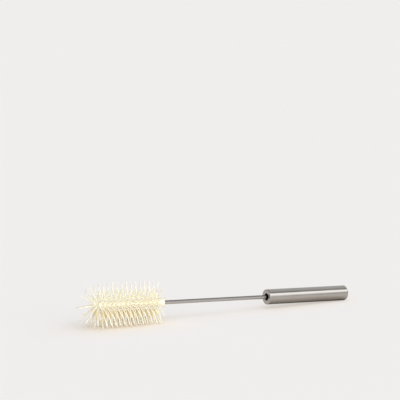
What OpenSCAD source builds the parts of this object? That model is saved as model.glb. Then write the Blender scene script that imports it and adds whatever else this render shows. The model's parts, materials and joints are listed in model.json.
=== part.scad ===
// Bottle brush: a moulded silicone head on a steel rod, with a steel tube for a handle.
// The brush lies on the plane z = 0, resting on the lower edge of the handle's closed end and on
// its bristles. The head points to -X and the handle to +X.
// Each sub-part is drawn upright, with Z = 0 at the handle's closed end, and is then laid down.

/* [Handle] */
// Outside diameter of the handle tube
handle_d = 16; // [14:0.5:20]
// Length of the handle
handle_len = 101.5; // [80:0.5:130]
// Wall thickness of the handle tube
handle_wall = 1; // [0.8:0.1:1.2]
// Radius round the closed end of the handle
handle_end_r = 1.5; // [1.3:0.1:2.5]
// Chamfer round the open end of the handle
mouth_chamfer = 0.4; // [0.1:0.1:0.6]

/* [Plug] */
// Length of the plug in the open end of the handle
plug_len = 26; // [20:1:40]
// Diameter of the recess round the rod
recess_d = 7.4; // [6:0.1:9]
// Depth of the recess round the rod
recess_depth = 10; // [4:0.5:14]

/* [Rod] */
// Diameter of the rod
rod_d = 4; // [3:0.1:4.5]
// Bare length of the rod, from the handle to the head
rod_bare_len = 124.5; // [90:0.5:180]
// Depth of the rings cut in the rod to hold the head
groove_depth = 0.3; // [0.1:0.05:0.5]
// Number of rings cut in the rod
groove_count = 5; // [0:1:6]

/* [Head] */
// Diameter of the head from bristle tip to bristle tip
head_d = 45; // [42:0.5:46]
// Diameter of the sleeve that carries the bristles
sleeve_d = 8; // [7.8:0.1:9]
// Plain length of sleeve behind the last ring of bristles
sleeve_plain_len = 9.1; // [4:0.1:20]
// Number of rings of bristles
ring_count = 13; // [10:1:15]
// Distance from one ring of bristles to the next
ring_pitch = 5.1; // [3.5:0.1:6]
// Plain length of sleeve between the front ring and the round nose
nose_lead = 3.9; // [3:0.1:6]
// Number of bristles in a ring
ring_bristles = 14; // [8:1:14]
// Turn of the rows of bristles round the head, in degrees
row_turn = 9.9; // [0:0.1:12]

/* [Bristles] */
// Diameter of a bristle at its foot
bristle_foot_d = 1.5; // [1.2:0.05:1.5]
// Diameter of a bristle at its tip
bristle_tip_d = 1.2; // [0.8:0.05:1.2]
// Diameter of a nose bristle at its foot
nose_foot_d = 1.2; // [1:0.05:1.2]
// Diameter of a nose bristle at its tip
nose_tip_d = 1; // [0.8:0.05:1]

/* [Rest] */
// Height of the rod's centre line at the last ring, whose lower bristles are pressed aside
rest_h = 19.1; // [18.3:0.1:20.5]

/* [Hidden] */

STEEL = "#9b9b98";
PLUG_STEEL = "#8a8a87";
ROD_STEEL = "#a6a6a2";
SILICONE = "#f4e7c3";

// Facets of a turned piece, and of one bristle.
turned_fn = 96;
bristle_fn = 16;

handle_r = handle_d / 2;
bore_r = handle_r - handle_wall;
plug_back = 2;
plug_lead_in = 0.6;
plug_front_chamfer = 0.2;
recess_chamfer = 0.3;

head_r = head_d / 2;
sleeve_r = sleeve_d / 2;
sleeve_edge_r = 0.6;
sleeve_start = handle_len + rod_bare_len;
last_ring = sleeve_start + sleeve_plain_len;
nose_centre = last_ring + (ring_count - 1) * ring_pitch + nose_lead;

rod_r = rod_d / 2;
rod_start = handle_len - plug_len + plug_back;
rod_nose_gap = 4.2;
rod_end = nose_centre - rod_nose_gap;
rod_chamfer = 0.3;
groove_w = 1.5;
groove_first = sleeve_start + 14;
groove_pitch = (rod_end - groove_first) / max(1, groove_count);

tip_r = bristle_tip_d / 2;
foot_r = bristle_foot_d / 2;
nose_foot_r = nose_foot_d / 2;
nose_tip_r = nose_tip_d / 2;
// How deep a foot starts below the sleeve's surface: upright, on the nose, and pressed backwards.
foot_sink = 0.25;
nose_sink = 0.15;
pressed_sink = 0.55;
// A row nearer than this to straight down is pressed backwards, and the others sideways.
backward_row = 12;

// Rows of bristles on the round nose: [angle towards its tip, count, turn in half steps].
NOSE_ROWS = [[16, 14, 0], [45, 7, 0], [90, 1, 0]];

// The lean of the resting brush, from the heights of its two ends.
lever = [handle_r - handle_end_r, last_ring - handle_end_r];
tilt = asin((rest_h - handle_end_r) / norm(lever)) - atan2(lever[0], lever[1]);

// Height over the table of the centre line at z millimetres from the closed end.
function axis_height(z) = lever[0] * cos(tilt) + handle_end_r + (z - handle_end_r) * sin(tilt);

// How far the nose bristle at angle a, turned by t, reaches along the table.
function nose_reach(a, t) =
    let (out = head_r - nose_tip_r)
    (nose_centre + out * sin(a)) * cos(tilt) - out * cos(a) * cos(t) * sin(tilt) + nose_tip_r;

// Turns of the bristles of a nose row round the centre line, from straight up.
function nose_turns(row) = [for (i = [0 : row[1] - 1]) (i + row[2] / 2) * 360 / row[1] + row_turn];

// The ends of the resting brush, and its middle, from the point below its closed end.
front_x = max([for (row = NOSE_ROWS) for (t = nose_turns(row)) nose_reach(row[0], t)]);
back_x = handle_end_r * (1 - cos(tilt)) + lever[0] * sin(tilt);
middle_x = (back_x - front_x) / 2;

// Turn of bristle k of a ring round the centre line, from straight up, between 0 and 360.
function ring_turn(k) = (k * 360 / ring_bristles + row_turn) % 360;

// Room for the round tip of a bristle at z, from the centre line down to the table.
function tip_room(z) = axis_height(z) - tip_r;

// Sideways angle from straight down of a row at angle b, so that its tips stay on the table.
function pressed_out(z, b) =
    let (start = sleeve_r - foot_sink)
    let (c = (tip_room(z) / cos(tilt) - start * cos(b)) / (head_r - tip_r - start))
    c < cos(b) ? acos(c) : b;

// Backward angle of a row close to straight down, so that its tips stay on the table.
function pressed_back(z, b) =
    let (start = sleeve_r - pressed_sink)
    let (down = cos(b) * cos(tilt))
    let (c = (tip_room(z) - start * down) / (head_r - tip_r - start) / norm([sin(tilt), down]))
    c < 1 ? max(0, atan2(sin(tilt), down) + acos(c)) : 0;

// Lays an upright piece down in the resting pose.
module laid() {
    translate([-middle_x, 0, axis_height(0)])
        rotate([0, tilt - 90, 0])
            children();
}

// Half section of a round bar between two heights, with both edges chamfered by c.
module bar_section(r, bottom, top, c) {
    polygon([[0, bottom], [r - c, bottom], [r, bottom + c], [r, top - c], [r - c, top], [0, top]]);
}

// Half section of a round bar whose bottom edge is rounded by e and whose top edge is chamfered by c.
module rounded_section(r, bottom, top, e, c) {
    polygon([[0, bottom + e], [r, bottom + e], [r, top - c], [r - c, top], [0, top]]);
    translate([0, bottom])
        square([r - e, e]);
    intersection() {
        translate([r - e, bottom + e])
            circle(r = e, $fn = turned_fn);
        translate([r - e, bottom])
            square([e, e]);
    }
}

// Half section of the plug: a lead-in at its back, and a stepped hole that opens at its front.
module plug_section() {
    back = handle_len - plug_len;
    recess_r = recess_d / 2;
    polygon([
        [0, back],
        [bore_r - plug_lead_in, back],
        [bore_r, back + plug_lead_in],
        [bore_r, handle_len - plug_front_chamfer],
        [bore_r - plug_front_chamfer, handle_len],
        [recess_r + recess_chamfer, handle_len],
        [recess_r, handle_len - recess_chamfer],
        [recess_r, handle_len - recess_depth],
        [rod_r, handle_len - recess_depth],
        [rod_r, rod_start],
        [0, rod_start]
    ]);
}

// Half section of the rod, with the rings near its front end that hold the silicone.
module rod_section() {
    difference() {
        bar_section(rod_r, rod_start, rod_end, rod_chamfer);
        for (i = [0 : 1 : groove_count - 1])
            translate([rod_r - groove_depth, groove_first + i * groove_pitch])
                square([groove_depth + 1, groove_w]);
    }
}

// Half section of the sleeve and its round nose, with the hole that the rod fills.
module sleeve_section() {
    difference() {
        union() {
            rounded_section(sleeve_r, sleeve_start, nose_centre, sleeve_edge_r, 0);
            intersection() {
                translate([0, nose_centre])
                    circle(r = sleeve_r, $fn = turned_fn);
                translate([0, nose_centre])
                    square([sleeve_r, sleeve_r]);
            }
        }
        rod_section();
    }
}

// One bristle along Z: a slender cone with a rounded tip.
module bristle(len, foot, tip) {
    dome = [for (a = [0 : 30 : 60]) [tip * cos(a), len + tip * (sin(a) - 1)]];
    rotate_extrude($fn = bristle_fn)
        polygon(concat([[0, 0], [foot, 0]], dome, [[0, dome[2][1]]]));
}

// A bristle of a ring at height z, turned from straight up; low ones are pressed by the table.
module ring_bristle(z, turn) {
    from_down = abs(180 - turn);
    side = turn > 180 ? -1 : 1;
    backward = from_down < backward_row;
    sink = backward ? pressed_sink : foot_sink;
    swing = backward ? 0 : pressed_out(z, from_down) - from_down;
    lean = backward ? pressed_back(z, from_down) : 0;
    translate([0, 0, z])
        rotate([0, 0, -turn])
            translate([sleeve_r - sink, 0, 0])
                rotate([0, 90 + lean, side * swing])
                    bristle(head_r - sleeve_r + sink, foot_r, tip_r);
}

// A bristle of the round nose at an angle towards its tip, turned from straight up.
module nose_bristle(angle, turn) {
    translate([0, 0, nose_centre])
        rotate([0, 90 - angle, -turn])
            translate([0, 0, sleeve_r - nose_sink])
                bristle(head_r - sleeve_r + nose_sink, nose_foot_r, nose_tip_r);
}

// Drawn tube with a closed, rounded end.
module handle_shell() {
    color(STEEL)
        laid()
            rotate_extrude($fn = turned_fn)
                difference() {
                    rounded_section(handle_r, 0, handle_len, handle_end_r, mouth_chamfer);
                    rounded_section(bore_r, handle_wall, handle_len + 1, handle_end_r - handle_wall, 0);
                }
}

// Turned plug pressed into the tube, with a recess round the rod and the seat that grips it.
module handle_plug() {
    color(PLUG_STEEL)
        laid()
            rotate_extrude($fn = turned_fn)
                plug_section();
}

// Straight round bar from the plug's seat to far inside the head.
module rod() {
    color(ROD_STEEL)
        laid()
            rotate_extrude($fn = turned_fn)
                rod_section();
}

// One silicone moulding: sleeve, rings of bristles and the burst of bristles on the nose.
module brush_head() {
    color(SILICONE)
        laid()
            union() {
                rotate_extrude($fn = turned_fn)
                    sleeve_section();
                for (i = [0 : ring_count - 1])
                    for (k = [0 : ring_bristles - 1])
                        ring_bristle(last_ring + i * ring_pitch, ring_turn(k));
                for (row = NOSE_ROWS)
                    for (turn = nose_turns(row))
                        nose_bristle(row[0], turn);
            }
}

handle_shell();
handle_plug();
rod();
brush_head();
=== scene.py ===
# %% [markdown]
# # A silicone bottle brush on a table
#
# The brush has four pieces: a moulded silicone head, a steel rod, a steel tube for a handle and a
# plug in the tube's mouth. The construction model holds their sizes and places, and this lesson
# gives them their looks: a modelled head with bent bristles, and steel that was drawn and turned.

# %% Load the construction model
import json
import math
from collections import namedtuple

import bpy
from mathutils import Matrix, Vector


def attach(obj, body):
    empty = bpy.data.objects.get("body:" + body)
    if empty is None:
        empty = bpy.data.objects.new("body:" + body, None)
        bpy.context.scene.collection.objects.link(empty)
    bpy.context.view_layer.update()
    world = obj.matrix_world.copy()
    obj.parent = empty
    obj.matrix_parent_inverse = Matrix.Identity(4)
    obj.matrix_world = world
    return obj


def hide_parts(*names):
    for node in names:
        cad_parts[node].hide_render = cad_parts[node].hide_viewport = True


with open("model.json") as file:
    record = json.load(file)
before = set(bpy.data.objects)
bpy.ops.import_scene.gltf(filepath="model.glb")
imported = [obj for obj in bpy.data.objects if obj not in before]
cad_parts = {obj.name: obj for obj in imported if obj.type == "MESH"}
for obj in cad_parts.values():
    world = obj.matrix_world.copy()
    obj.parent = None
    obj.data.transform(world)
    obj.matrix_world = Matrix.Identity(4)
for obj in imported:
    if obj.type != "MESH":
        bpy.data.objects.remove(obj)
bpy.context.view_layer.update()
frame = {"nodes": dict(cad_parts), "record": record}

# %% [markdown]
# ## The line that everything is threaded on
#
# A brush like this is round about one straight line. It lies with its handle's closed end on the
# table and its head propped up on its bristles, so the line climbs a little towards the nose. The
# record says where the handle's barrel lies and which way it points. From there a place on the
# brush is one number, its distance from the closed end, which is how a maker would measure it.

# %% Places along the brush
MM = 0.001
HANDLE_END_RADIUS = 1.5 * MM

barrel = next(m for m in frame["record"]["mounts"] if m["name"] == "handle_barrel")
to_nose = -Vector(barrel["axis"]).normalized()
barrel_half = barrel["dims"]["length_mm"] * MM / 2
closed_end = Vector(barrel["pos_m"]) - to_nose * (barrel_half + HANDLE_END_RADIUS)
to_side = Vector((0, -1, 0))
to_top = to_nose.cross(to_side).normalized()
if to_top.z < 0:
    to_top = -to_top


def on_axis(distance):
    """The point on the brush's centre line at this distance from the handle's closed end."""
    return closed_end + to_nose * distance


def outward(turn):
    """The direction out of the centre line, turned in degrees from the top towards the near side."""
    angle = math.radians(turn)
    return to_top * math.cos(angle) + to_side * math.sin(angle)


climb = math.asin(to_nose.z)
print("the line climbs", round(math.degrees(climb), 2), "degrees from", [round(c, 4) for c in closed_end])

# %% [markdown]
# ## The camera
#
# A long lens from far away keeps the thin rod straight and the near bristles from swelling. The
# camera stands a little above the table, to the front and left, so that the head comes first and
# the handle runs off to the right. It is held a quarter of a degree off level, as a hand holds one.

# %% Camera
# Metres from the handle's closed end, and degrees.
CAMERA_FROM_END = (-0.9650, -1.2885, 0.2720)
CAMERA_AZIMUTH = -31.286
CAMERA_ELEVATION = 6.076
CAMERA_ROLL = -0.25
LENS = 135
SENSOR_WIDTH = 36
NEAREST = 0.05
FARTHEST = 200

camera_data = bpy.data.cameras.new("camera")
camera = bpy.data.objects.new("camera", camera_data)
bpy.context.scene.collection.objects.link(camera)
camera.location = closed_end + Vector(CAMERA_FROM_END)
turned = Matrix.Rotation(math.radians(CAMERA_AZIMUTH), 3, "Z")
tipped = Matrix.Rotation(math.radians(90 - CAMERA_ELEVATION), 3, "X")
rolled = Matrix.Rotation(math.radians(CAMERA_ROLL), 3, "Z")
camera.rotation_euler = (turned @ tipped @ rolled).to_euler()
camera_data.lens = LENS
camera_data.sensor_width = SENSOR_WIDTH
camera_data.clip_start = NEAREST
camera_data.clip_end = FARTHEST
bpy.context.scene.camera = camera
print("camera to closed end:", round((camera.location - closed_end).length, 2), "m")

# %% [markdown]
# ## Helpers for node trees
#
# Shaders and Geometry Nodes are both trees of nodes. One small function adds a node, sets its
# options and fills its sockets, each with a value or with a link from an earlier node. The others
# stand on it, and each gives back the output that the next node needs, so that a sum on nodes can
# be written almost like a sum on numbers.


# %% Node helpers
def add_node(tree, kind, sockets=None, **options):
    """Adds a node. sockets maps an input's name or number to a value or to another node's output."""
    node = tree.nodes.new(kind)
    for option, value in options.items():
        setattr(node, option, value)
    for key, value in (sockets or {}).items():
        socket = node.inputs[key]
        if isinstance(value, bpy.types.NodeSocket):
            tree.links.new(value, socket)
        else:
            socket.default_value = value
    return node


def maths(tree, operation, a, b=0.0):
    """One sum on numbers."""
    return add_node(tree, "ShaderNodeMath", {0: a, 1: b}, operation=operation).outputs[0]


def vector_maths(tree, operation, a, b=(0, 0, 0)):
    """One sum on vectors that gives a vector."""
    return add_node(tree, "ShaderNodeVectorMath", {0: a, 1: b}, operation=operation).outputs["Vector"]


def vector_measure(tree, operation, a, b=(0, 0, 0)):
    """One sum on vectors that gives a number."""
    return add_node(tree, "ShaderNodeVectorMath", {0: a, 1: b}, operation=operation).outputs["Value"]


def scaled(tree, vector, factor):
    """A vector times a number."""
    sockets = {0: vector, "Scale": factor}
    return add_node(tree, "ShaderNodeVectorMath", sockets, operation="SCALE").outputs["Vector"]


print("helpers:", ", ".join(f.__name__ for f in (add_node, maths, vector_maths, vector_measure, scaled)))

# %% [markdown]
# ## One bristle, drawn once
#
# A silicone bristle is a slender taper. Its foot flares into the sleeve like a trumpet, so that it
# doesn't tear off, and it ends in a small dome. It could be modelled as a mesh, but it also has to
# bend, and a line bends better than a tube. So it is drawn as an upright line of stations, each
# with its distance along and its thickness there. Geometry Nodes will copy, bend and skin it.

# %% Bristle stations
HEAD_RADIUS = 22.5 * MM
SLEEVE_RADIUS = 4 * MM
FOOT_SINK = 0.25 * MM
BRISTLE_FOOT = 0.75 * MM
BRISTLE_TIP = 0.6 * MM
FLARE = 0.8 * MM
FLARE_FADE = 1.25 * MM
BRISTLE_LENGTH = HEAD_RADIUS - SLEEVE_RADIUS + FOOT_SINK
STATIONS = [d * MM for d in (0, 0.8, 2, 5, 9, 13.5)]
DOME_ANGLES = (0, 55)


def bristle_stations():
    """Pairs of distance along and thickness, from the foot to the end of the dome."""
    dome_start = BRISTLE_LENGTH - BRISTLE_TIP
    stations = []
    for along in STATIONS:
        taper = BRISTLE_FOOT + (BRISTLE_TIP - BRISTLE_FOOT) * along / dome_start
        flare = FLARE * math.exp(-max(0, along - FOOT_SINK) / FLARE_FADE)
        stations.append((along, taper + flare))
    for angle in DOME_ANGLES:
        rise = BRISTLE_TIP * math.sin(math.radians(angle))
        stations.append((dome_start + rise, BRISTLE_TIP * math.cos(math.radians(angle))))
    return stations


def upright_line(name, stations):
    """A line of edges up the Z axis, with its distance and its thickness kept on each point."""
    mesh = bpy.data.meshes.new(name)
    steps = range(len(stations) - 1)
    mesh.from_pydata([(0, 0, along) for along, _ in stations], [(i, i + 1) for i in steps], [])
    for attribute, column in (("along", 0), ("thickness", 1)):
        values = mesh.attributes.new(attribute, "FLOAT", "POINT").data
        for value, station in zip(values, stations):
            value.value = station[column]
    line = bpy.data.objects.new(name, mesh)
    bpy.context.scene.collection.objects.link(line)
    return line


bristle_line = upright_line("bristle_line", bristle_stations())
print(len(bristle_line.data.vertices), "stations over", round(1000 * BRISTLE_LENGTH, 1), "mm")

# %% [markdown]
# ## How a bristle gives
#
# Silicone is soft, so a bristle that is pressed against the table curls like a bent reed. Its shape
# is then close to an arc: it leaves its foot in the direction it aims and swings over to the side
# that it gives to. The curl that just lays its tip on the table has no simple formula, but a
# tighter arc always ends higher. So it is found by trial, halving the doubt each time.

# %% Curl of a pressed bristle
TRIALS = 24
DOWN = Vector((0, 0, -1))


def arc_drop(curl, aim, give):
    """How far the tip of a bristle with this curl lies below its foot."""
    forward = math.sin(curl) / curl if curl else 1
    sideways = (1 - math.cos(curl)) / curl if curl else 0
    return -(aim.z * forward + give.z * sideways) * (BRISTLE_LENGTH - BRISTLE_TIP)


def curl_to_table(foot, aim, give):
    """The curl, as an angle over the bristle's length, that lays its tip on the table."""
    room = foot.z - BRISTLE_TIP
    if arc_drop(0, aim, give) <= room:
        return 0
    low, high = 0, math.pi / 2
    for _ in range(TRIALS):
        middle = (low + high) / 2
        low, high = (middle, high) if arc_drop(middle, aim, give) > room else (low, middle)
    return high


upright_drop = arc_drop(0, DOWN, to_nose)
print("straight down, a bristle's tip centre is", round(1000 * upright_drop, 1), "mm below its foot")

# %% [markdown]
# ## Where the bristles stand
#
# The head carries rings of bristles, all turned alike, so that they also stand in straight rows.
# The round nose carries a burst: a ring as full as the others that leans forward a little, a ring
# half as full that leans halfway, and one bristle at the tip. The two lowest rows can't stay
# straight, because the table is in their way. The one nearest to straight down curls towards the
# handle, and the one beside it curls sideways.

# %% Bristle feet
SLEEVE_START = 226 * MM
SLEEVE_PLAIN = 9.1 * MM
LAST_RING = SLEEVE_START + SLEEVE_PLAIN
RING_COUNT = 13
RING_PITCH = 5.1 * MM
RING_BRISTLES = 14
NOSE_LEAD = 3.9 * MM
NOSE_CENTRE = LAST_RING + (RING_COUNT - 1) * RING_PITCH + NOSE_LEAD
# How far the rows are turned round the head, in degrees.
ROW_TURN = 9.9
# The rings on the nose: how far they lean towards its tip, in degrees, and how many bristles.
NOSE_RINGS = ((16, 14), (45, 7), (90, 1))
# A row nearer than this to straight down, in degrees, curls towards the handle.
CURLS_BACK_WITHIN = 12

Foot = namedtuple("Foot", "place aim give curl")


def ring_foot(distance, turn):
    """The foot of one bristle of a full ring."""
    aim = outward(turn)
    place = on_axis(distance) + aim * (SLEEVE_RADIUS - FOOT_SINK)
    from_down = turn % 360 - 180
    if abs(from_down) < CURLS_BACK_WITHIN:
        give = -to_nose
    else:
        give = outward(turn + 90) * (1 if from_down > 0 else -1)
    return Foot(place, aim, give, curl_to_table(place, aim, give))


def nose_foot(angle, turn):
    """The foot of one bristle of the burst, which leans towards the tip by this angle."""
    aim = outward(turn) * math.cos(math.radians(angle)) + to_nose * math.sin(math.radians(angle))
    place = on_axis(NOSE_CENTRE) + aim * (SLEEVE_RADIUS - FOOT_SINK)
    return Foot(place, aim, -to_nose, 0)


feet = [
    ring_foot(LAST_RING + ring * RING_PITCH, ROW_TURN + k * 360 / RING_BRISTLES)
    for ring in range(RING_COUNT)
    for k in range(RING_BRISTLES)
]
for angle, count in NOSE_RINGS:
    feet += [nose_foot(angle, ROW_TURN + k * 360 / count) for k in range(count)]
pressed = [math.degrees(foot.curl) for foot in feet if foot.curl]
print(len(feet), "bristles,", len(pressed), "pressed by the table, up to", round(max(pressed)), "degrees")

# %% [markdown]
# The feet become a mesh of loose points. What each bristle needs is kept on its point: where it
# aims, which way it gives, how much it curls and how far its tip sags. A level bristle sags most,
# an upright one not at all, and a pressed one is held up by the table.

# %% Points that carry the feet
TIP_SAG = 2.5 * MM


def feet_points(name, feet, tip_sag):
    """A mesh of loose points with the attributes aim, give, curl and sag."""
    mesh = bpy.data.meshes.new(name)
    mesh.from_pydata([tuple(foot.place) for foot in feet], [], [])
    for attribute in ("aim", "give", "sag"):
        mesh.attributes.new(attribute, "FLOAT_VECTOR", "POINT")
    mesh.attributes.new("curl", "FLOAT", "POINT")
    for i, foot in enumerate(feet):
        across = DOWN - foot.aim * DOWN.dot(foot.aim)
        mesh.attributes["aim"].data[i].vector = foot.aim
        mesh.attributes["give"].data[i].vector = foot.give
        mesh.attributes["curl"].data[i].value = foot.curl
        mesh.attributes["sag"].data[i].vector = across * (0 if foot.curl else tip_sag)
    points = bpy.data.objects.new(name, mesh)
    bpy.context.scene.collection.objects.link(points)
    return points


head_feet = feet_points("head_feet", feet, TIP_SAG)
print("attributes:", [a.name for a in head_feet.data.attributes if not a.name.startswith(".")])

# %% [markdown]
# ## Bending a line with nodes
#
# Each point of a copied line moves to where the bent bristle has it: along an arc that leaves the
# foot in the aim direction, plus the sag of a beam that is held at one end. Share is how far along
# the bristle the point is, from 0 to 1. The arc's formula divides by the curl, so a straight bristle
# gets a curl too small to see. No point may go below the table.

# %% Bend a line
LEAST_CURL = 0.0001


def named(tree, name, kind):
    """Reads a named attribute of the geometry."""
    node = add_node(tree, "GeometryNodeInputNamedAttribute", {"Name": name}, data_type=kind)
    return node.outputs["Attribute"]


def beam_sag(tree, share):
    """How much of its tip's sag a beam has at this share s: s * s * (6 - 4 * s + s * s) / 3."""
    squared = maths(tree, "MULTIPLY", share, share)
    straight_part = maths(tree, "SUBTRACT", 6.0, maths(tree, "MULTIPLY", share, 4.0))
    shape = maths(tree, "ADD", straight_part, squared)
    return maths(tree, "DIVIDE", maths(tree, "MULTIPLY", shape, squared), 3.0)


def bent_position(tree, length):
    """Where a point of a bristle lies once it is bent, from the attributes on it."""
    share = maths(tree, "DIVIDE", named(tree, "along", "FLOAT"), length)
    curl = maths(tree, "MAXIMUM", named(tree, "curl", "FLOAT"), LEAST_CURL)
    angle = maths(tree, "MULTIPLY", curl, share)
    radius = maths(tree, "DIVIDE", length, curl)
    forward = maths(tree, "MULTIPLY", maths(tree, "SINE", angle), radius)
    sideways = maths(tree, "MULTIPLY", maths(tree, "SUBTRACT", 1.0, maths(tree, "COSINE", angle)), radius)
    place = named(tree, "foot", "FLOAT_VECTOR")
    for direction, amount in (("aim", forward), ("give", sideways), ("sag", beam_sag(tree, share))):
        step = scaled(tree, named(tree, direction, "FLOAT_VECTOR"), amount)
        place = vector_maths(tree, "ADD", place, step)
    return place


def above_table(tree, place):
    """The same place, but no nearer to the table than the bristle is thick."""
    x, y, z = add_node(tree, "ShaderNodeSeparateXYZ", {0: place}).outputs
    height = maths(tree, "MAXIMUM", z, named(tree, "thickness", "FLOAT"))
    return add_node(tree, "ShaderNodeCombineXYZ", {0: x, 1: y, 2: height}).outputs[0]


print("a level bristle's tip sags", round(1000 * TIP_SAG, 1), "mm, a straight one curls", LEAST_CURL)

# %% [markdown]
# ## The tree that grows the bristles
#
# The tree first leans every aim a little by chance, which keeps the rows from looking machined. The
# seed keeps the chance the same on every run. Then it sets a copy of the upright line on every
# foot. The copies are only instances, which can't be bent one by one, so they are made real, bent,
# and skinned with a circle as wide as each station. The tree ends in Realize Instances all the
# same, because an export drops what is still an instance, and in Set Material.

# %% Inputs and chance of the bristle tree
STEM_INPUTS = (
    ("Line", "NodeSocketObject"),
    ("Length", "NodeSocketFloat"),
    ("Sides", "NodeSocketInt"),
    ("Lean", "NodeSocketFloat"),
    ("Seed", "NodeSocketInt"),
    ("Material", "NodeSocketMaterial"),
)


def stored(tree, geometry, name, value):
    """Keeps a vector on every point of the geometry, under this name."""
    sockets = {"Geometry": geometry, "Name": name, "Value": value}
    node = add_node(
        tree, "GeometryNodeStoreNamedAttribute", sockets, data_type="FLOAT_VECTOR", domain="POINT")
    return node.outputs[0]


def leaned_aim(tree, lean, seed):
    """The aim of each bristle, moved by chance by up to the lean in every direction."""
    limits = {0: (-1, -1, -1), 1: (1, 1, 1), "Seed": seed}
    chance = add_node(tree, "FunctionNodeRandomValue", limits, data_type="FLOAT_VECTOR").outputs[0]
    moved = vector_maths(tree, "ADD", named(tree, "aim", "FLOAT_VECTOR"), scaled(tree, chance, lean))
    return vector_maths(tree, "NORMALIZE", moved)


print("inputs of the tree:", ", ".join(name for name, _ in STEM_INPUTS))


# %% Bristle tree
def stem_tree():
    """Sets a line on every point, bends it and skins it."""
    tree = bpy.data.node_groups.new("stems", "GeometryNodeTree")
    tree.interface.new_socket("Geometry", in_out="INPUT", socket_type="NodeSocketGeometry")
    for name, kind in STEM_INPUTS:
        tree.interface.new_socket(name, in_out="INPUT", socket_type=kind)
    tree.interface.new_socket("Geometry", in_out="OUTPUT", socket_type="NodeSocketGeometry")
    given = add_node(tree, "NodeGroupInput").outputs

    where = add_node(tree, "GeometryNodeInputPosition").outputs[0]
    points = stored(tree, given["Geometry"], "foot", where)
    points = stored(tree, points, "aim", leaned_aim(tree, given["Lean"], given["Seed"]))
    line = add_node(tree, "GeometryNodeObjectInfo", {"Object": given["Line"]}).outputs["Geometry"]
    copies = add_node(tree, "GeometryNodeInstanceOnPoints", {"Points": points, "Instance": line})
    lines = add_node(tree, "GeometryNodeRealizeInstances", {0: copies.outputs[0]}).outputs[0]

    place = above_table(tree, bent_position(tree, given["Length"]))
    bent = add_node(tree, "GeometryNodeSetPosition", {"Geometry": lines, "Position": place})
    curve = add_node(tree, "GeometryNodeMeshToCurve", {"Mesh": bent.outputs[0]}).outputs[0]
    ring = {"Resolution": given["Sides"], "Radius": 1.0}
    circle = add_node(tree, "GeometryNodeCurvePrimitiveCircle", ring).outputs["Curve"]
    skin = add_node(tree, "GeometryNodeCurveToMesh", {
        "Curve": curve,
        "Profile Curve": circle,
        "Scale": named(tree, "thickness", "FLOAT"),
        "Fill Caps": True,
    })

    smooth = add_node(tree, "GeometryNodeSetShadeSmooth", {"Geometry": skin.outputs[0]})
    real = add_node(tree, "GeometryNodeRealizeInstances", {0: smooth.outputs[0]})
    finish = {"Geometry": real.outputs[0], "Material": given["Material"]}
    finished = add_node(tree, "GeometryNodeSetMaterial", finish)
    add_node(tree, "NodeGroupOutput", {0: finished.outputs[0]})
    return tree


stems = stem_tree()
print("the tree has", len(stems.nodes), "nodes")

# %% [markdown]
# A modifier runs the tree. Its inputs are set by each socket's identifier before the object is
# first evaluated, and the result is then kept as a plain mesh.


# %% Run a tree and keep its mesh
def grown(name, points, tree, **inputs):
    """A plain mesh object made by the tree from the points object, which is then removed."""
    modifier = points.modifiers.new("grow", "NODES")
    modifier.node_group = tree
    for item in tree.interface.items_tree:
        label = item.name.lower()
        if item.item_type == "SOCKET" and item.in_out == "INPUT" and label in inputs:
            modifier[item.identifier] = inputs[label]
    depsgraph = bpy.context.evaluated_depsgraph_get()
    mesh = bpy.data.meshes.new_from_object(points.evaluated_get(depsgraph), depsgraph=depsgraph)
    mesh.name = name
    bpy.data.objects.remove(points)
    made = bpy.data.objects.new(name, mesh)
    bpy.context.scene.collection.objects.link(made)
    return made


print("waiting to be grown:", head_feet.name, "with", len(head_feet.data.vertices), "points")

# %% [markdown]
# ## Colour that follows the place
#
# Both the silicone and the steel change with the place on the brush. A material can read the place
# of each point as Object coordinates. Measured from the handle's closed end, they say how far along
# the brush a point is, how far out of its centre line, and how high over or under that line.


# %% Measures for materials
def new_material(name):
    """An empty node material, its tree and its principled shader."""
    material = bpy.data.materials.new(name)
    material.use_nodes = True
    return material, material.node_tree, material.node_tree.nodes["Principled BSDF"]


def object_place(tree):
    """The place of each point, in Object coordinates."""
    return add_node(tree, "ShaderNodeTexCoord").outputs["Object"]


def distance_toward(tree, where, direction):
    """How far a place lies from the handle's closed end, measured in this direction."""
    from_end = vector_maths(tree, "SUBTRACT", where, closed_end)
    return vector_measure(tree, "DOT_PRODUCT", from_end, direction)


def along_brush(tree, where):
    """How far along the centre line a place lies, from the handle's closed end."""
    return distance_toward(tree, where, to_nose)


def over_line(tree, where):
    """How high a place lies over the centre line, or under it where this is negative."""
    return distance_toward(tree, where, to_top)


def distance_out(tree, where):
    """How far a place lies out of the centre line."""
    from_end = vector_maths(tree, "SUBTRACT", where, closed_end)
    return vector_measure(tree, "LENGTH", vector_maths(tree, "CROSS_PRODUCT", from_end, to_nose))


print("places are measured from", [round(1000 * c, 1) for c in closed_end], "mm")

# %% [markdown]
# A measure in metres has to become a colour, a roughness or a share between 0 and 1. Map Range does
# that, in a straight line or with soft ends. Noise breaks up what would else look too even, and a
# bump makes the finest of it catch the light without any extra faces.


# %% Patterns for materials
def mapped(tree, value, span, low, high, shape="LINEAR"):
    """A number that goes from low to high as the value crosses the span, and stays there."""
    sockets = {0: value, 1: span[0], 2: span[1], 3: low, 4: high}
    return add_node(tree, "ShaderNodeMapRange", sockets, interpolation_type=shape).outputs[0]


def eased(tree, value, span, low=0.0, high=1.0):
    """The same, but with a soft start and a soft end."""
    return mapped(tree, value, span, low, high, "SMOOTHSTEP")


def noise(tree, where, scale, detail):
    """A cloudy pattern between 0 and 1. A larger scale makes it finer."""
    sockets = {"Vector": where, "Scale": scale, "Detail": detail}
    return add_node(tree, "ShaderNodeTexNoise", sockets).outputs["Fac"]


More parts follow.
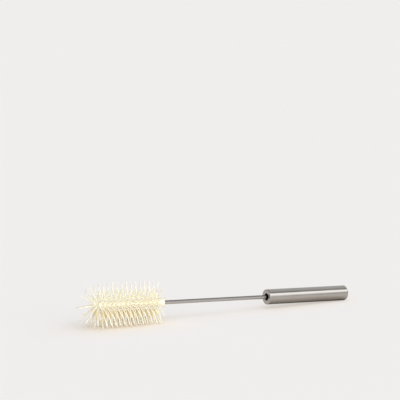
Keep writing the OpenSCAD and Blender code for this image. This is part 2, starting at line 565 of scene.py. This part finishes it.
def bump(tree, skin, height, strength, depth):
    """Tilts the skin's shading as if the pattern stood out of it by the depth."""
    sockets = {"Height": height, "Strength": strength, "Distance": depth}
    normal = add_node(tree, "ShaderNodeBump", sockets).outputs["Normal"]
    tree.links.new(normal, skin.inputs["Normal"])


print("patterns:", ", ".join(f.__name__ for f in (mapped, eased, noise, bump)))

# %% [markdown]
# ## Silicone
#
# Food-grade silicone is milky: light goes in, spreads a millimetre or two and comes out warmer, so
# that a crowd of thin bristles seems to glow from inside. Subsurface scattering works that out ray
# by ray, but on bristles thinner than the spread it mostly darkens them. So that light and shade
# are painted into the colour here, which follows the place: painted light makes the tips cream and
# the core honey, and painted shade makes the lower half amber, more so towards the nose. The thick
# sleeve has a painted shade deeper, and so has the nose's burst, where no neighbours pass light on.
# The skin is matt, with a fine grain from the mould.

# %% Silicone colours
AMBER = (0.95, 0.82, 0.54)
HONEY = (0.99, 0.94, 0.77)
CREAM = (0.87, 0.83, 0.74)

# The tint is a number: 0 is amber, HONEY_AT is honey and 1 is cream.
HONEY_AT = 0.35
# Honey pales to cream between these distances out of the core, as painted light.
PALING = (12 * MM, 21 * MM)
# As painted shade, the lowest tips are this much nearer to amber, in the rear of the head and at
# its nose.
DEEPENING = (0.5, 0.85)
REAR_TO_NOSE = (255 * MM, 315 * MM)
# Faint clouds shift the tint by up to this much.
CLOUDING = 0.12
CLOUD_SCALE = 90.0
CLOUD_DETAIL = 3.0


def distance_from_core(tree, where):
    """How far a place lies from the centre line, or from the nose's centre past that."""
    past_nose = maths(tree, "SUBTRACT", along_brush(tree, where), NOSE_CENTRE)
    past_nose = maths(tree, "MAXIMUM", past_nose, 0.0)
    squares = [maths(tree, "POWER", side, 2.0) for side in (past_nose, distance_out(tree, where))]
    return maths(tree, "SQRT", maths(tree, "ADD", *squares))


def silicone_tint(tree, where, cloud):
    """Amber, honey or cream, from how far out and how low a place is: painted light and shade."""
    outer = mapped(tree, distance_from_core(tree, where), PALING, HONEY_AT, 1.0)
    slopes = [amount / HEAD_RADIUS for amount in DEEPENING]
    slope = mapped(tree, along_brush(tree, where), REAR_TO_NOSE, *slopes)
    # Painted shade: below the centre line the tint goes towards amber.
    below = maths(tree, "MINIMUM", over_line(tree, where), 0.0)
    outer = maths(tree, "ADD", outer, maths(tree, "MULTIPLY", below, slope))
    uneven = mapped(tree, cloud, (0.0, 1.0), -CLOUDING, CLOUDING)
    clouded = add_node(tree, "ShaderNodeMath", {0: outer, 1: uneven}, operation="ADD", use_clamp=True)
    tint = add_node(tree, "ShaderNodeValToRGB", {0: clouded.outputs[0]})
    stops = tint.color_ramp.elements
    stops.new(HONEY_AT)
    for stop, colour in zip(stops, (AMBER, HONEY, CREAM)):
        stop.color = colour + (1,)
    return tint.outputs["Color"]


print("amber turns to honey at", HONEY_AT, "and to cream at 1")

# %% Silicone material
# The colour is multiplied by these painted shades: on the sleeve, which ends where the bristles
# leave it, and on the nose's burst.
SLEEVE_SHADE = 0.96
SLEEVE_EDGE = (4.1 * MM, 5 * MM)
NOSE_SHADE = 0.9
NOSE_FROM = (285 * MM, 318 * MM)
# The roughness lies between these, and follows the clouds.
SHEEN = (0.42, 0.58)
GRAIN_SCALE = 2500.0
GRAIN_DETAIL = 2.0
GRAIN_STRENGTH = 0.25
GRAIN_DEPTH = 0.04 * MM
SILICONE_IOR = 1.41


def silicone_material():
    """Matt ivory silicone whose tint follows the place on the head, with painted light and shade."""
    material, tree, skin = new_material("ivory_silicone")
    where = object_place(tree)
    cloud = noise(tree, where, CLOUD_SCALE, CLOUD_DETAIL)
    sleeve = mapped(tree, distance_from_core(tree, where), SLEEVE_EDGE, SLEEVE_SHADE, 1.0)
    nose = mapped(tree, along_brush(tree, where), NOSE_FROM, 1.0, NOSE_SHADE)
    shown = scaled(tree, silicone_tint(tree, where, cloud), maths(tree, "MULTIPLY", sleeve, nose))
    tree.links.new(shown, skin.inputs["Base Color"])
    tree.links.new(mapped(tree, cloud, (0.0, 1.0), *SHEEN), skin.inputs["Roughness"])
    bump(tree, skin, noise(tree, where, GRAIN_SCALE, GRAIN_DETAIL), GRAIN_STRENGTH, GRAIN_DEPTH)
    skin.inputs["IOR"].default_value = SILICONE_IOR
    return material


silicone = silicone_material()
print("silicone:", silicone.name, "with", len(silicone.node_tree.nodes), "nodes")

# %% [markdown]
# ## The head
#
# Bristles and sleeve are one moulding, so they become one piece. The sleeve is drawn by stations
# too: a rounded lip at the rod, a straight wall, and a dome for the nose. The same tree skins it
# when it stands on a single foot and doesn't bend.

# %% Sleeve stations
LIP_RADIUS = 0.6 * MM
LIP_STEPS = 6
NOSE_STEPS = 12


def quarter(steps):
    """Angles of a quarter circle in this many equal steps, without its end."""
    return [math.pi / 2 * i / steps for i in range(steps)]


def sleeve_stations():
    """The sleeve from its lip almost to the pole of its nose."""
    wall = NOSE_CENTRE - SLEEVE_START
    stations = []
    for angle in quarter(LIP_STEPS) + [math.pi / 2]:
        inset = LIP_RADIUS * (1 - math.sin(angle))
        stations.append((LIP_RADIUS * (1 - math.cos(angle)), SLEEVE_RADIUS - inset))
    stations.append((wall / 2, SLEEVE_RADIUS))
    for angle in quarter(NOSE_STEPS):
        stations.append((wall + SLEEVE_RADIUS * math.sin(angle), SLEEVE_RADIUS * math.cos(angle)))
    return stations


sleeve_line = upright_line("sleeve_line", sleeve_stations())
sleeve_length = sleeve_line.data.vertices[-1].co.z
print("the sleeve is", round(1000 * sleeve_length, 1), "mm long")

# %% Brush head
SLEEVE_SIDES = 48
BRISTLE_SIDES = 8
# How far a bristle's aim is moved by chance, as a share of its length.
LEAN = 0.01
LEAN_SEED = 7


def joined(name, pieces):
    """One piece out of several, which are removed."""
    with bpy.context.temp_override(active_object=pieces[0], selected_editable_objects=pieces):
        bpy.ops.object.join()
    pieces[0].name = name
    pieces[0].data.name = name
    return pieces[0]


sleeve_foot = feet_points("sleeve_foot", [Foot(on_axis(SLEEVE_START), to_nose, to_top, 0)], 0)
sleeve = grown(
    "sleeve", sleeve_foot, stems,
    line=sleeve_line, length=sleeve_length, sides=SLEEVE_SIDES, material=silicone)
bristles = grown(
    "bristles", head_feet, stems,
    line=bristle_line, length=BRISTLE_LENGTH, sides=BRISTLE_SIDES, lean=LEAN, seed=LEAN_SEED,
    material=silicone)
head = joined("silicone_head", [sleeve, bristles])
for line in (sleeve_line, bristle_line):
    bpy.data.objects.remove(line)
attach(head, "root")
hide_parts("brush_head")
print("the head has", sum(len(p.vertices) - 2 for p in head.data.polygons), "triangles")

# %% [markdown]
# ## Steel
#
# All three steel pieces keep their construction shapes. What tells them apart is their finish. The
# handle is a polished tube that mirrors the room in long stripes. The plug was turned and left
# grey. The rod is drawn bar with a dull skin, painted lighter underneath and darker along its top
# as painted light and shade. The recess round the rod is painted dark as shade, and so is the rod
# in it.

# %% Steel material
LINE_DETAIL = 4.0
LINE_STRENGTH = 0.3
BLOTCH_SCALE = 60.0
BLOTCH_DETAIL = 2.0
# Lines and blotches add up to a number about 1, and the roughness changes between these two.
STREAKING = (0.6, 1.4)
# The colour goes from darker to lighter with the blotches.
DARKER = 0.94
LIGHTER = 1.06


def blended_colour(tree, factor, a, b):
    """Colour a where the factor is 0, colour b where it is 1."""
    sockets = {"Factor": factor, "A": tuple(a) + (1,), "B": tuple(b) + (1,)}
    return add_node(tree, "ShaderNodeMix", sockets, data_type="RGBA").outputs["Result"]


def steel_material(name, colour, roughness, spread, streaks, line_depth, shades=()):
    """Steel whose roughness varies in streaks, with the pattern's scale along X, Y and Z.

    Each shade is a measure (a function of the tree and the place), the span in which it changes
    the colour, and the two factors on the colour before and after that span.
    """
    material, tree, skin = new_material(name)
    skin.inputs["Metallic"].default_value = 1.0
    where = object_place(tree)
    level = {"Vector": where, "Rotation": (0, -climb, 0), "Scale": streaks}
    lines = noise(tree, add_node(tree, "ShaderNodeMapping", level).outputs[0], 1.0, LINE_DETAIL)
    blotch = noise(tree, where, BLOTCH_SCALE, BLOTCH_DETAIL)
    both = maths(tree, "ADD", lines, blotch)
    rough = mapped(tree, both, STREAKING, roughness - spread, roughness + spread)
    tree.links.new(rough, skin.inputs["Roughness"])
    shown = blended_colour(tree, blotch, [c * DARKER for c in colour], [c * LIGHTER for c in colour])
    # Each shade paints light or shade into the colour.
    for measure, span, before, after in shades:
        shown = scaled(tree, shown, eased(tree, measure(tree, where), span, before, after))
    tree.links.new(shown, skin.inputs["Base Color"])
    bump(tree, skin, lines, LINE_STRENGTH, line_depth)
    return material


print("steel varies by", round(100 * (LIGHTER - 1)), "percent in tone")

# %% Steel finishes
# Factors on a steel's colour, for painted shade and painted light.
RECESS_SHADE = 0.08
UNSHADED = 1.0
UNDERSIDE_LIGHT = 1.3
TOPSIDE_SHADE = 0.6
# Where they change: out of the recess in the plug, past the handle's mouth, and up the rod.
RECESS_EDGE = (3.7 * MM, 3.9 * MM)
MOUTH = (102 * MM, 104 * MM)
ROD_TOP = (0.0, 0.9 * MM)

FINISHES = {
    "handle_shell": steel_material(
        "polished_tube", colour=(0.47, 0.437, 0.405), roughness=0.10, spread=0.03,
        streaks=(40, 2500, 2500), line_depth=0.004 * MM),
    "handle_plug": steel_material(
        "turned_plug", colour=(0.45, 0.425, 0.40), roughness=0.35, spread=0.06,
        streaks=(800, 800, 800), line_depth=0.01 * MM,
        # The recess is painted dark as shade.
        shades=[(distance_out, RECESS_EDGE, RECESS_SHADE, UNSHADED)]),
    "rod": steel_material(
        "drawn_rod", colour=(0.365, 0.342, 0.318), roughness=0.34, spread=0.05,
        streaks=(60, 3000, 3000), line_depth=0.006 * MM,
        # The rod gets painted shade in the mouth, painted light underneath and painted shade on top.
        shades=[(along_brush, MOUTH, RECESS_SHADE, UNSHADED), (over_line, ROD_TOP, UNDERSIDE_LIGHT, TOPSIDE_SHADE)]),
}
for node_name, material in FINISHES.items():
    node = frame["nodes"][node_name]
    for slot in node.material_slots:
        slot.material = material
print("steel finishes:", ", ".join(sorted(FINISHES)))

# %% [markdown]
# ## The table
#
# The table is one pale sheet that runs on past everything the camera sees. Its colour times the
# light that falls on it is the tone of the picture's background. Product pictures keep shadows
# faint. So for the camera a part of the sheet's tone is its own, and only the rest comes from the
# light: more of it under the dense head than under the slim handle. What the steel mirrors keeps
# its full shadow, with painted shade added in the crevice under the brush. Near the brush the sheet
# has a painted warm tint, most of all round the head, which stands for light that went through
# silicone or bounced off it.

# %% Table material
# The tone of the backdrop, and the sheet's colour, which comes to the same tone in this light.
PALE = (0.871, 0.855, 0.847)
SHEET = (0.90, 0.858, 0.839)
# How much of the tone comes from the light, beside the handle and beside the head.
SHADOW_SHARE = (0.42, 0.74)
HANDLE_TO_HEAD = (130 * MM, 225 * MM)
# Mirrored, the sheet loses up to this share of its tone where something stands this near, as
# painted shade.
CREVICE_SHADE = 0.8
CREVICE_REACH = 20 * MM
# Something this near gives the sheet a painted warm tint. Beside the handle it stays this share of
# plain at least.
GLOW = (1.0, 0.9, 0.75)
PLAIN = (1.0, 1.0, 1.0)
GLOW_REACH = 60 * MM
PLAIN_AT_HANDLE = 0.6
OPEN_SAMPLES = 8


def blended(tree, factor, a, b):
    """Number a where the factor is 0, number b where it is 1."""
    sockets = {"Factor": factor, "A": a, "B": b}
    return add_node(tree, "ShaderNodeMix", sockets, data_type="FLOAT").outputs["Result"]


def openness(tree, reach):
    """1 on open table, less where something stands within this reach."""
    node = add_node(tree, "ShaderNodeAmbientOcclusion", {"Distance": reach}, samples=OPEN_SAMPLES)
    return node.outputs["AO"]


def table_material():
    """A matt sheet whose shadows the camera sees at a share of their depth."""
    material, tree, _ = new_material("pale_table")
    tree.nodes.clear()
    path = add_node(tree, "ShaderNodeLightPath").outputs
    along = along_brush(tree, object_place(tree))
    # Painted crevice shade, for mirrored rays only.
    crevice = maths(tree, "MULTIPLY", path["Is Glossy Ray"], CREVICE_SHADE)
    colour = scaled(tree, SHEET, blended(tree, crevice, 1.0, openness(tree, CREVICE_REACH)))
    # Painted warm light near the brush, less of it beside the handle.
    plain = eased(tree, along, HANDLE_TO_HEAD, PLAIN_AT_HANDLE, 0.0)
    plain = maths(tree, "MAXIMUM", openness(tree, GLOW_REACH), plain)
    glow = blended_colour(tree, plain, GLOW, PLAIN)
    lit = add_node(tree, "ShaderNodeBsdfDiffuse", {"Color": vector_maths(tree, "MULTIPLY", colour, glow)})
    own = add_node(tree, "ShaderNodeEmission", {"Color": vector_maths(tree, "MULTIPLY", PALE, glow)})
    own_share = eased(tree, along, HANDLE_TO_HEAD, *[1 - share for share in SHADOW_SHARE])
    own_share = maths(tree, "MULTIPLY", path["Is Camera Ray"], own_share)
    surface = add_node(tree, "ShaderNodeMixShader", {0: own_share, 1: lit.outputs[0], 2: own.outputs[0]})
    add_node(tree, "ShaderNodeOutputMaterial", {"Surface": surface.outputs[0]})
    return material


pale_table = table_material()
print("table:", pale_table.name, "with", len(pale_table.node_tree.nodes), "nodes")

# %% Table
SHEET_HALF = 60

table_mesh = bpy.data.meshes.new("table")
corners = [(x * SHEET_HALF, y * SHEET_HALF, 0) for x, y in ((-1, -1), (1, -1), (1, 1), (-1, 1))]
table_mesh.from_pydata(corners, [], [(0, 1, 2, 3)])
table = bpy.data.objects.new("table", table_mesh)
bpy.context.scene.collection.objects.link(table)
table.data.materials.append(pale_table)
print("the sheet is", 2 * SHEET_HALF, "m wide")

# %% [markdown]
# ## The studio
#
# Polished steel shows everything round it, so the light can't be one grey. This studio has a wide
# window in front to the right, which draws the bright stripe along the handle, and a large lamp in
# front above, which lights the head. A dim panel hangs overhead. The wall in front is darker than
# the one behind, and the upper left is dark, so that shadows fall to that side. Each is a smooth
# patch of the sky, chosen by direction. Where the table ends, the camera sees its tone go on.

# %% Room light
# A way is a direction. Each pair is the start and the end of a soft edge: WIDTH and LAMP_EDGE
# compare directions, FOOT, HEAD and PANEL_EDGE go up, LEFT_EDGE goes left and FRONT_TO_BACK back.
WINDOW_WAY = (0.41, -0.91, 0)
WINDOW_WIDTH = (0.07, 0.23)
WINDOW_FOOT = (0.33, 0.41)
WINDOW_HEAD = (0.61, 0.71)
WINDOW_LIGHT = 1.9
LAMP_WAY = (-0.19, -0.84, 0.51)
LAMP_EDGE = (0.54, 0.78)
LAMP_LIGHT = 1.9
PANEL_EDGE = (0.82, 0.93)
PANEL_LIGHT = 0.55
LEFT_EDGE = (0.1, 0.7)
LEFT_LIGHT = 0.2
FRONT_LIGHT = 0.40
BACK_LIGHT = 0.68
FRONT_TO_BACK = (-0.45, 0.15)
LIGHT_TINT = (0.975, 1.0, 1.015)


def room_light(tree):
    """How bright the room is in each direction."""
    way = add_node(tree, "ShaderNodeTexCoord").outputs["Generated"]
    x, y, up = add_node(tree, "ShaderNodeSeparateXYZ", {0: way}).outputs
    flat = add_node(tree, "ShaderNodeCombineXYZ", {0: x, 1: y, 2: 0.0}).outputs[0]
    level = vector_maths(tree, "NORMALIZE", flat)
    right, back, _ = add_node(tree, "ShaderNodeSeparateXYZ", {0: level}).outputs
    over_foot = eased(tree, up, WINDOW_FOOT)

    light = eased(tree, back, FRONT_TO_BACK, FRONT_LIGHT, BACK_LIGHT)
    left = eased(tree, maths(tree, "MULTIPLY", right, -1.0), LEFT_EDGE)
    light = blended(tree, maths(tree, "MULTIPLY", left, over_foot), light, LEFT_LIGHT)
    light = blended(tree, eased(tree, up, PANEL_EDGE), light, PANEL_LIGHT)
    lamp = vector_measure(tree, "DOT_PRODUCT", way, LAMP_WAY)
    light = blended(tree, eased(tree, lamp, LAMP_EDGE), light, LAMP_LIGHT)
    window = eased(tree, vector_measure(tree, "DOT_PRODUCT", level, WINDOW_WAY), WINDOW_WIDTH)
    window = maths(tree, "MULTIPLY", window, over_foot)
    window = maths(tree, "MULTIPLY", window, eased(tree, up, WINDOW_HEAD, 1.0, 0.0))
    return blended(tree, window, light, WINDOW_LIGHT)


print("the window is", round(WINDOW_LIGHT / FRONT_LIGHT, 1), "times as bright as the wall that it's in")


# %% Studio
def studio():
    """A room that lights the brush, and a plain backdrop for the camera."""
    world = bpy.data.worlds.new("studio")
    bpy.context.scene.world = world
    world.use_nodes = True
    tree = world.node_tree
    tree.nodes.clear()
    room = add_node(tree, "ShaderNodeBackground", {"Color": scaled(tree, LIGHT_TINT, room_light(tree))})
    backdrop = add_node(tree, "ShaderNodeBackground", {"Color": PALE + (1,)})
    seen = add_node(tree, "ShaderNodeLightPath").outputs["Is Camera Ray"]
    sky = add_node(tree, "ShaderNodeMixShader", {0: seen, 1: room.outputs[0], 2: backdrop.outputs[0]})
    add_node(tree, "ShaderNodeOutputWorld", {"Surface": sky.outputs[0]})
    return world


print("world:", studio().name)
bpy.context.scene.view_settings.view_transform = "Standard"

# %% [markdown]
# ## Bring the scene up to date
#
# The scene is updated once more, now that it has its looks.

# %% Update the scene
bpy.context.view_layer.update()
